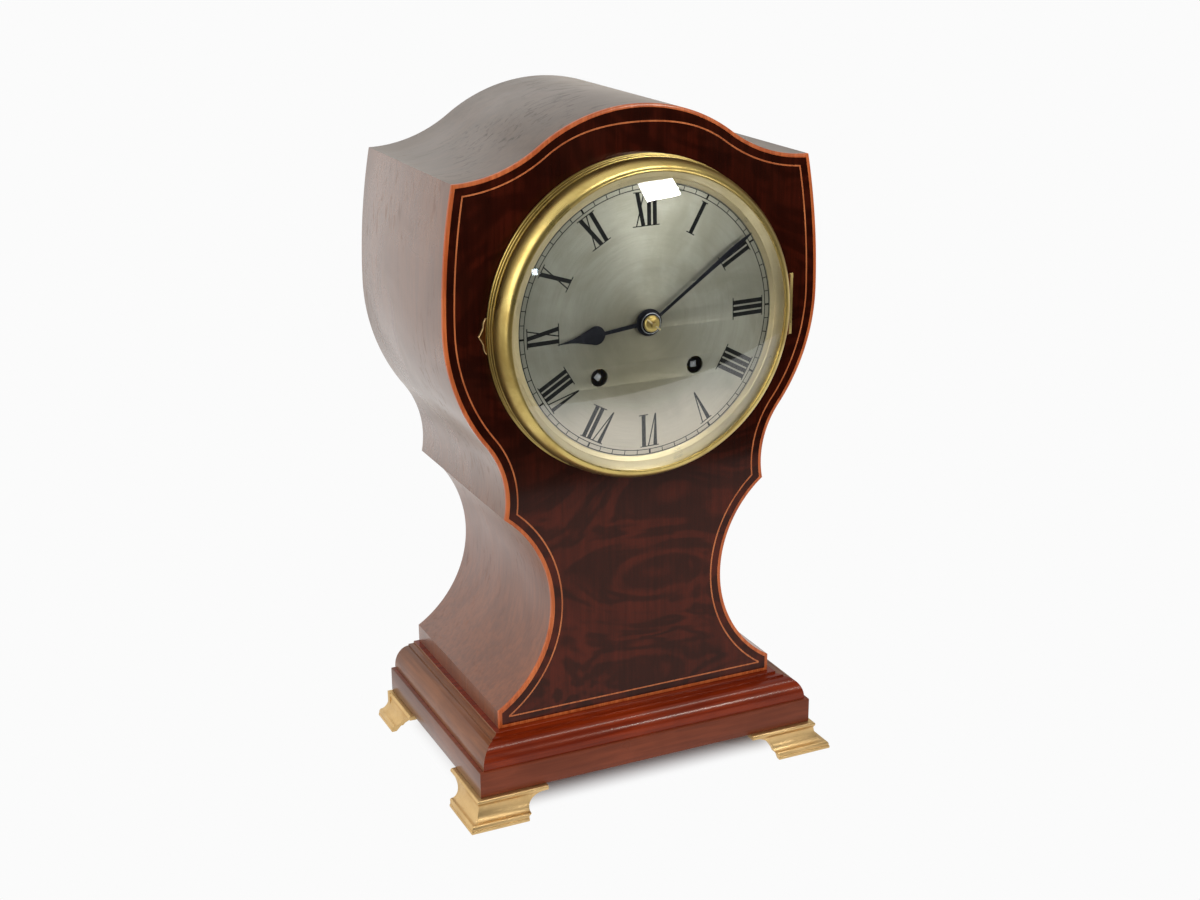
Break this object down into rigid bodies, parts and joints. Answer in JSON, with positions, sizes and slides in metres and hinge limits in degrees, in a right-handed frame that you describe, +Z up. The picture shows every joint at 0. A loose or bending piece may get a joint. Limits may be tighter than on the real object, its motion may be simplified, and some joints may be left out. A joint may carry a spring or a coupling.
{
  "type": "pendulum table clock",
  "caption": "Balloon-shaped mahogany table clock with inlaid edges, hinged convex-glass bezel, silvered dial, striking pendulum movement, back door and brass bracket feet.",
  "frame": {"origin": "centre of the bounding box in plan, on the surface that the feet stand on", "axes": "+Z up, -Y out of the dial towards the reader, +X to the right of someone reading the dial"},
  "size_m": [0.2208, 0.1616, 0.372],
  "materials": {
    "polished_mahogany": "French-polished dark mahogany veneer, flamed figure",
    "inner_mahogany": "plain mahogany, oiled",
    "boxwood_banding": "light orange inlay wood, polished over",
    "polished_brass": "lacquered brass, aged",
    "cast_brass": "cast brass, lacquered, worn pale on the edges",
    "silvered_brass": "silvered, fine brushed, black wax-filled figures",
    "blued_steel": "blued nearly black",
    "clock_steel": "polished steel",
    "convex_glass": "clear convex glass"
  },
  "bodies": {
    "case": {"front_panel": "polished_mahogany", "edge_banding": "boxwood_banding", "stringing_line": "boxwood_banding", "top_board": "polished_mahogany", "upper_side_left": "polished_mahogany", "upper_side_right": "polished_mahogany", "waist_side_left": "polished_mahogany", "waist_side_right": "polished_mahogany", "back_panel": "inner_mahogany", "seat_board": "inner_mahogany", "plinth_moulding": "polished_mahogany", "plinth_block": "polished_mahogany", "foot_front_left": "cast_brass", "foot_front_right": "cast_brass", "foot_back_left": "cast_brass", "foot_back_right": "cast_brass", "door_hinge_frame_leaf": "polished_brass", "bezel_hinge_case_leaf": "polished_brass", "dial_pan": "polished_brass", "dial": "silvered_brass", "hand_collet": "polished_brass", "hand_pin": "polished_brass", "front_plate": "polished_brass", "back_plate": "polished_brass", "pillar_top_left": "polished_brass", "pillar_top_right": "polished_brass", "pillar_bottom_left": "polished_brass", "pillar_bottom_right": "polished_brass", "going_barrel": "polished_brass", "strike_barrel": "polished_brass", "second_wheel": "polished_brass", "centre_wheel": "polished_brass", "third_wheel": "polished_brass", "escape_wheel": "polished_brass", "strike_pin_wheel": "polished_brass", "strike_fly": "polished_brass", "suspension_cock": "polished_brass", "gong": "clock_steel", "gong_block": "inner_mahogany"},
    "bezel_door": {"bezel": "polished_brass", "glass": "convex_glass", "sight_ring": "cast_brass", "finger_tab": "polished_brass", "bezel_hinge_bezel_leaf": "polished_brass"},
    "rear_door": {"back_door": "inner_mahogany", "door_hinge_door_leaf": "polished_brass", "door_knob": "polished_brass"},
    "minute_work": {"minute_hand": "blued_steel", "cannon_pinion": "clock_steel"},
    "intermediate_wheel": {"minute_wheel": "polished_brass"},
    "hour_work": {"hour_hand": "blued_steel", "hour_wheel": "polished_brass"},
    "pendulum": {"suspension_spring": "clock_steel", "pendulum_rod": "clock_steel", "pendulum_bob": "polished_brass", "rating_nut": "polished_brass"},
    "pallets": {"anchor": "clock_steel"},
    "going_key_arbor": {"going_winder": "clock_steel"},
    "strike_key_arbor": {"strike_winder": "clock_steel"},
    "striker": {"hammer": "clock_steel"}
  },
  "joints": [
    {"name": "bezel_swing", "type": "hinge", "parent": "case", "child": "bezel_door", "pos_m": [0.0883, -0.05645, 0.2597], "axis": [0, 0, 1], "range_deg": [0, 100]},
    {"name": "back_door_swing", "type": "hinge", "parent": "case", "child": "rear_door", "pos_m": [-0.06, 0.07395, 0.251], "axis": [0, 0, 1], "range_deg": [0, 110]},
    {"name": "minute_turn", "type": "hinge", "parent": "case", "child": "minute_work", "pos_m": [0, -0.05465, 0.2627], "axis": [0, 1, 0], "continuous": true},
    {"name": "minute_wheel_turn", "type": "hinge", "parent": "case", "child": "intermediate_wheel", "pos_m": [-0.0096, -0.05465, 0.27933], "axis": [0, 1, 0], "continuous": true},
    {"name": "hour_turn", "type": "hinge", "parent": "case", "child": "hour_work", "pos_m": [0, -0.05465, 0.2627], "axis": [0, 1, 0], "continuous": true},
    {"name": "pendulum_swing", "type": "hinge", "parent": "case", "child": "pendulum", "pos_m": [0, 0.01135, 0.3087], "axis": [0, 1, 0], "range_deg": [-2.5, 2.5]},
    {"name": "pallet_swing", "type": "hinge", "parent": "case", "child": "pallets", "pos_m": [0, 0.01135, 0.3087], "axis": [0, 1, 0], "range_deg": [-2.5, 2.5]},
    {"name": "going_winding", "type": "hinge", "parent": "case", "child": "going_key_arbor", "pos_m": [0.0275, -0.05465, 0.2364], "axis": [0, 1, 0], "range_deg": [0, 1980]},
    {"name": "strike_winding", "type": "hinge", "parent": "case", "child": "strike_key_arbor", "pos_m": [-0.0275, -0.05465, 0.2364], "axis": [0, 1, 0], "range_deg": [0, 1980]},
    {"name": "hammer_lift", "type": "hinge", "parent": "case", "child": "striker", "pos_m": [-0.052, -0.05465, 0.2587], "axis": [0, 1, 0], "range_deg": [0, 5], "stiffness_Nm_per_rad": 0.03, "springref_deg": -4.58}
  ],
  "couplings": [
    {"joint": "minute_wheel_turn", "follows": "minute_turn", "ratio": -0.33333},
    {"joint": "hour_turn", "follows": "minute_turn", "ratio": 0.083333},
    {"joint": "pallet_swing", "follows": "pendulum_swing", "ratio": 1}
  ]
}
